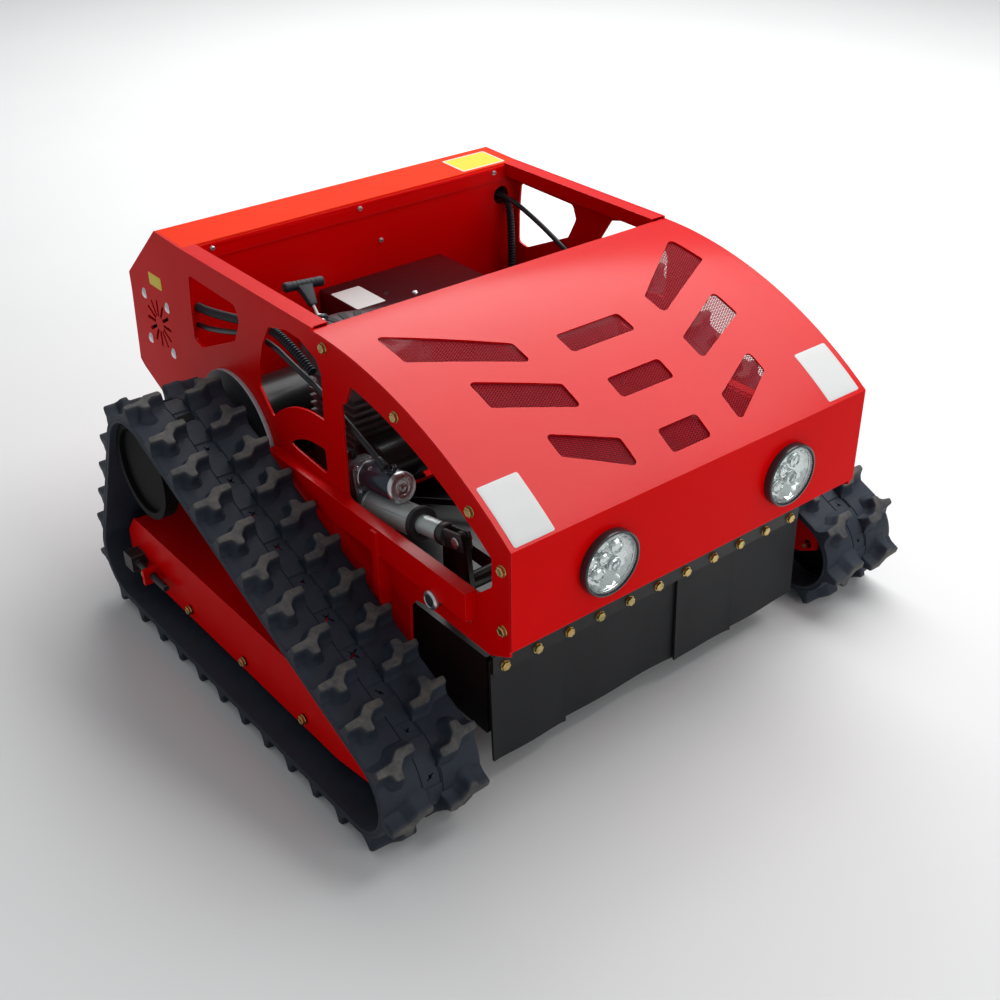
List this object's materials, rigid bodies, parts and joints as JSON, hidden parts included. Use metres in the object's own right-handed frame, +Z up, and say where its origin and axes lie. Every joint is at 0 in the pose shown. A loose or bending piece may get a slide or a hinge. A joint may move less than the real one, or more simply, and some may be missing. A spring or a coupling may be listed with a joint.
{
  "type": "remote control slope mower",
  "caption": "Low red radio-controlled slope mower: arched vented hood over engine and cutting deck, triangular rubber tracks, round front lamps.",
  "frame": {"origin": "on the ground under the middle of the whole machine's bounding box", "axes": "+X to the machine's right-hand side seen from behind, +Y rearwards (the lamps face -Y), +Z up"},
  "size_m": [1.054, 1.048, 0.606],
  "materials": {
    "red_paint": "gloss",
    "orange_red_paint": "gloss",
    "mesh": "satin",
    "gold_zinc": "satin",
    "silver_zinc": "satin",
    "lamp_body": "gloss",
    "lamp_glass": "clear",
    "track_rubber": "matt",
    "wheel_nylon": "satin",
    "black_steel": "satin",
    "grey_steel": "satin",
    "flap_rubber": "matt",
    "silver_actuator": "satin",
    "cast_engine": "rough",
    "black_plastic": "satin",
    "handle_rubber": "satin",
    "rope": "woven",
    "black_gloss": "gloss",
    "tank_plastic": "satin"
  },
  "bodies": {
    "chassis": {"actuator_body": "silver_actuator", "battery": "black_gloss", "battery_box": "black_gloss", "control_boxes": "black_plastic", "cross_members": "red_paint", "drive_belt": "flap_rubber", "engine_block": "cast_engine", "engine_plate": "red_paint", "fan_frames": "black_plastic", "fuel_tank": "tank_plastic", "hood": "red_paint", "hood_bolts": "gold_zinc", "hood_mesh": "mesh", "lamp_housings": "lamp_body", "lamp_lenses": "lamp_glass", "rear_bulkhead": "red_paint", "rear_cover": "orange_red_paint", "rear_floor": "red_paint", "recoil_starter": "black_plastic", "rubber_track_left": "track_rubber", "rubber_track_right": "track_rubber", "side_plate_left": "red_paint", "side_plate_right": "red_paint", "side_sills": "red_paint", "silencer": "black_steel", "silver_screws": "silver_zinc", "sprocket_guards": "grey_steel", "starter_rope": "rope", "top_rails": "red_paint", "track_bolts": "gold_zinc", "track_frame_left": "red_paint", "track_frame_right": "red_paint", "travel_motors": "black_steel", "wiring_conduits": "black_plastic"},
    "sprocket_left": {"drive_sprocket_left": "black_steel"},
    "front_idler_left": {"front_idler_left": "wheel_nylon"},
    "road_wheel_left_1": {"road_wheel_left_1": "wheel_nylon"},
    "road_wheel_left_2": {"road_wheel_left_2": "wheel_nylon"},
    "road_wheel_left_3": {"road_wheel_left_3": "wheel_nylon"},
    "tensioner_left": {"tension_slide_left": "silver_zinc"},
    "rear_idler_left": {"rear_idler_left": "wheel_nylon"},
    "fan_left": {"fan_rotor_left": "black_plastic"},
    "sprocket_right": {"drive_sprocket_right": "black_steel"},
    "front_idler_right": {"front_idler_right": "wheel_nylon"},
    "road_wheel_right_1": {"road_wheel_right_1": "wheel_nylon"},
    "road_wheel_right_2": {"road_wheel_right_2": "wheel_nylon"},
    "road_wheel_right_3": {"road_wheel_right_3": "wheel_nylon"},
    "tensioner_right": {"tension_slide_right": "silver_zinc"},
    "rear_idler_right": {"rear_idler_right": "wheel_nylon"},
    "fan_right": {"fan_rotor_right": "black_plastic"},
    "deck": {"mower_deck": "black_steel", "deck_front_bar": "black_steel", "rubber_flap": "flap_rubber", "flap_bolts": "gold_zinc"},
    "cutter": {"blade_spindle": "black_steel", "cutter_blade": "grey_steel"},
    "lift_linkage": {"lift_shaft": "red_paint"},
    "actuator_ram": {"actuator_rod": "silver_zinc"},
    "engine_crank": {"engine_pulley": "black_steel"},
    "starter": {"starter_handle": "handle_rubber"}
  },
  "joints": [
    {"name": "drive_left", "type": "hinge", "parent": "chassis", "child": "sprocket_left", "pos_m": [-0.4455, 0.171, 0.3265], "axis": [1, 0, 0], "continuous": true, "deforming": ["rubber_track_left"]},
    {"name": "front_idler_spin_left", "type": "hinge", "parent": "chassis", "child": "front_idler_left", "pos_m": [-0.4455, -0.4, 0.096], "axis": [1, 0, 0], "continuous": true},
    {"name": "road_wheel_spin_left_1", "type": "hinge", "parent": "chassis", "child": "road_wheel_left_1", "pos_m": [-0.4455, -0.222, 0.08], "axis": [1, 0, 0], "continuous": true},
    {"name": "road_wheel_spin_left_2", "type": "hinge", "parent": "chassis", "child": "road_wheel_left_2", "pos_m": [-0.4455, -0.05, 0.08], "axis": [1, 0, 0], "continuous": true},
    {"name": "road_wheel_spin_left_3", "type": "hinge", "parent": "chassis", "child": "road_wheel_left_3", "pos_m": [-0.4455, 0.122, 0.08], "axis": [1, 0, 0], "continuous": true},
    {"name": "tension_slide_left", "type": "slide", "parent": "chassis", "child": "tensioner_left", "axis": [0, 1, 0], "range_m": [-0.015, 0]},
    {"name": "rear_idler_spin_left", "type": "hinge", "parent": "tensioner_left", "child": "rear_idler_left", "pos_m": [-0.4455, 0.29, 0.096], "axis": [1, 0, 0], "continuous": true},
    {"name": "fan_spin_left", "type": "hinge", "parent": "chassis", "child": "fan_left", "pos_m": [-0.326, 0.421, 0.4346], "axis": [1, 0, 0], "continuous": true},
    {"name": "drive_right", "type": "hinge", "parent": "chassis", "child": "sprocket_right", "pos_m": [0.4455, 0.171, 0.3265], "axis": [1, 0, 0], "continuous": true, "deforming": ["rubber_track_right"]},
    {"name": "front_idler_spin_right", "type": "hinge", "parent": "chassis", "child": "front_idler_right", "pos_m": [0.4455, -0.4, 0.096], "axis": [1, 0, 0], "continuous": true},
    {"name": "road_wheel_spin_right_1", "type": "hinge", "parent": "chassis", "child": "road_wheel_right_1", "pos_m": [0.4455, -0.222, 0.08], "axis": [1, 0, 0], "continuous": true},
    {"name": "road_wheel_spin_right_2", "type": "hinge", "parent": "chassis", "child": "road_wheel_right_2", "pos_m": [0.4455, -0.05, 0.08], "axis": [1, 0, 0], "continuous": true},
    {"name": "road_wheel_spin_right_3", "type": "hinge", "parent": "chassis", "child": "road_wheel_right_3", "pos_m": [0.4455, 0.122, 0.08], "axis": [1, 0, 0], "continuous": true},
    {"name": "tension_slide_right", "type": "slide", "parent": "chassis", "child": "tensioner_right", "axis": [0, 1, 0], "range_m": [-0.015, 0]},
    {"name": "rear_idler_spin_right", "type": "hinge", "parent": "tensioner_right", "child": "rear_idler_right", "pos_m": [0.4455, 0.29, 0.096], "axis": [1, 0, 0], "continuous": true},
    {"name": "fan_spin_right", "type": "hinge", "parent": "chassis", "child": "fan_right", "pos_m": [0.326, 0.421, 0.4346], "axis": [1, 0, 0], "continuous": true},
    {"name": "deck_lift", "type": "hinge", "parent": "chassis", "child": "deck", "pos_m": [0, 0.188, 0.234], "axis": [-1, 0, 0], "range_deg": [-3.5, 3.5], "deforming": ["drive_belt"]},
    {"name": "lift_swing", "type": "hinge", "parent": "chassis", "child": "lift_linkage", "pos_m": [0, -0.3665, 0.312], "axis": [1, 0, 0], "range_deg": [-18.5, 18.5]},
    {"name": "actuator_stroke", "type": "slide", "parent": "chassis", "child": "actuator_ram", "axis": [0, -0.9794, 0.2019], "range_m": [-0.0225, 0.0225]},
    {"name": "blade_spin", "type": "hinge", "parent": "deck", "child": "cutter", "pos_m": [0, -0.148, 0.1], "axis": [0, 0, 1], "continuous": true, "deforming": ["drive_belt"]},
    {"name": "engine_spin", "type": "hinge", "parent": "chassis", "child": "engine_crank", "pos_m": [-0.19, 0.033, 0.25], "axis": [0, 0, 1], "continuous": true},
    {"name": "starter_pull", "type": "slide", "parent": "chassis", "child": "starter", "axis": [0.1001, 0.8008, 0.5906], "range_m": [0, 0.4], "stiffness_N_per_m": 6, "deforming": ["starter_rope"]}
  ],
  "couplings": [
    {"joint": "front_idler_spin_left", "follows": "drive_left", "ratio": 1.262},
    {"joint": "road_wheel_spin_left_1", "follows": "drive_left", "ratio": 1.8656},
    {"joint": "road_wheel_spin_left_2", "follows": "drive_left", "ratio": 1.8656},
    {"joint": "road_wheel_spin_left_3", "follows": "drive_left", "ratio": 1.8656},
    {"joint": "rear_idler_spin_left", "follows": "drive_left", "ratio": 1.262},
    {"joint": "front_idler_spin_right", "follows": "drive_right", "ratio": 1.262},
    {"joint": "road_wheel_spin_right_1", "follows": "drive_right", "ratio": 1.8656},
    {"joint": "road_wheel_spin_right_2", "follows": "drive_right", "ratio": 1.8656},
    {"joint": "road_wheel_spin_right_3", "follows": "drive_right", "ratio": 1.8656},
    {"joint": "rear_idler_spin_right", "follows": "drive_right", "ratio": 1.262},
    {"joint": "lift_swing", "follows": "deck_lift", "ratio": 5.1611},
    {"joint": "actuator_stroke", "follows": "deck_lift", "m_per_rad": 0.3495},
    {"joint": "engine_spin", "follows": "blade_spin", "ratio": 1.3333}
  ]
}
